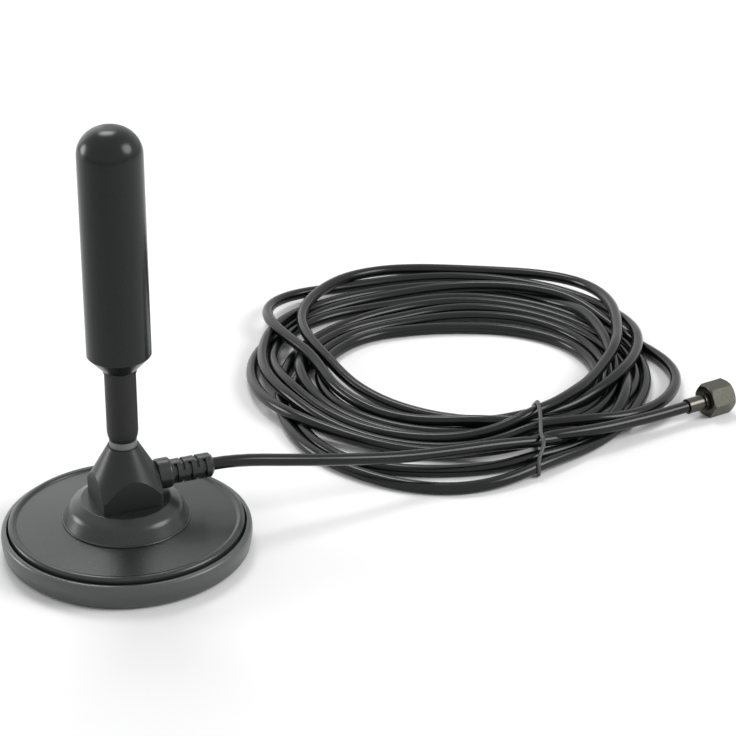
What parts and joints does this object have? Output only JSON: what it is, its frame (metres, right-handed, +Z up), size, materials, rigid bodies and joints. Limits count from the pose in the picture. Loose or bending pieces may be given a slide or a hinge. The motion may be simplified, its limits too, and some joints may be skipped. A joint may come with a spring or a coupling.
{
  "type": "magnetic indoor tv antenna",
  "caption": "Short thick whip antenna on a round magnetic base, with a ribbed strain relief, a thin coax lead in a tied coil and a screw-on plug with a turning hex nut.",
  "frame": {"origin": "middle of the round underside, on the surface that the base stands on", "axes": "+Z up along the whip, +X the way the lead leaves the strain relief"},
  "size_m": [0.2719, 0.2039, 0.1476],
  "materials": {
    "base_plastic": "satin moulded black",
    "shell_plastic": "satin moulded black, a little paler",
    "boss_plastic": "satin moulded black",
    "whip_plastic": "semi-gloss moulded black",
    "neck_rubber": "matt black rubber",
    "boot_rubber": "matt black rubber",
    "pad_rubber": "matt dark grey sheet",
    "collar_metal": "dark satin ring",
    "cable_jacket": "satin black jacket",
    "tie_plastic": "dark grey coated wire",
    "nickel": "nickel plated, turned",
    "white_insulator": "white foam dielectric",
    "copper": "bare copper",
    "brass": "turned brass",
    "ferrite": "sintered ferrite",
    "steel": "zinc plated steel"
  },
  "bodies": {
    "antenna": {"base_cover": "base_plastic", "lower_shell": "shell_plastic", "mast_boss": "boss_plastic", "mast_cover": "whip_plastic", "neck_sleeve": "neck_rubber", "strain_relief": "boot_rubber", "foot_pad": "pad_rubber", "mast_collar": "collar_metal", "cable_lead": "cable_jacket", "cable_coil": "cable_jacket", "cable_tail": "cable_jacket", "coax_end": "cable_jacket", "cable_tie": "tie_plastic", "crimp_sleeve": "nickel", "connector_body": "nickel", "connector_insulator": "white_insulator", "centre_conductor": "copper", "ground_strap": "copper", "radiator_rod": "brass", "feed_socket": "brass", "ring_magnet": "ferrite", "steel_plate": "steel", "base_screws": "steel", "boss_screws": "steel"},
    "nut": {"coupling_nut": "nickel"}
  },
  "joints": [
    {"name": "nut_spin", "type": "hinge", "parent": "antenna", "child": "nut", "pos_m": [0.213, 0.0111, 0.0056], "axis": [0.9848, 0.1736, 0], "continuous": true}
  ]
}
